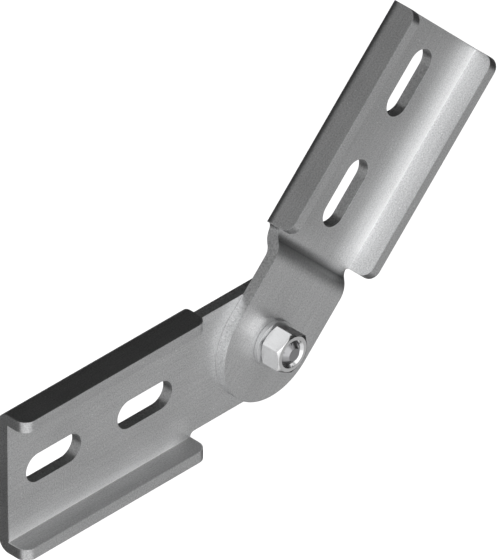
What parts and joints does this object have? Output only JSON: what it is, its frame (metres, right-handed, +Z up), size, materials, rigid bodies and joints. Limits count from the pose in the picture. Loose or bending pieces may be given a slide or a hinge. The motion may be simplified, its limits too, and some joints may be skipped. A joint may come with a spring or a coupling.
{
  "type": "cable tray hinged connector",
  "caption": "Hinged cable tray connector: flanged steel arms with fixing slots lap at a bolted pivot, one tongue joggled over the other, so the joint folds up or down.",
  "frame": {"origin": "centre of the fixed arm's two slots, on the back face of its web", "axes": "+X along the fixed arm towards the pivot, +Y out of the back face of the webs, +Z up across the fixed arm's web"},
  "size_m": [0.2623, 0.031, 0.1553],
  "materials": {
    "galvanised_sheet": "hot-dip galvanised steel sheet, matt grey with fine speckle",
    "bolt_steel": "zinc-plated steel, satin",
    "washer_zinc": "zinc-plated steel, satin",
    "nut_zinc": "bright zinc-plated steel"
  },
  "bodies": {
    "fixed_side": {"fixed_arm": "galvanised_sheet", "pivot_bolt": "bolt_steel", "head_washer": "washer_zinc", "nut_washer": "washer_zinc", "pivot_nut": "nut_zinc"},
    "swing_side": {"swing_arm": "galvanised_sheet"}
  },
  "joints": [
    {"name": "arm_fold", "type": "hinge", "parent": "fixed_side", "child": "swing_side", "pos_m": [0.09, -0.005, 0], "axis": [0, -1, 0], "range_deg": [-135, 45]}
  ]
}
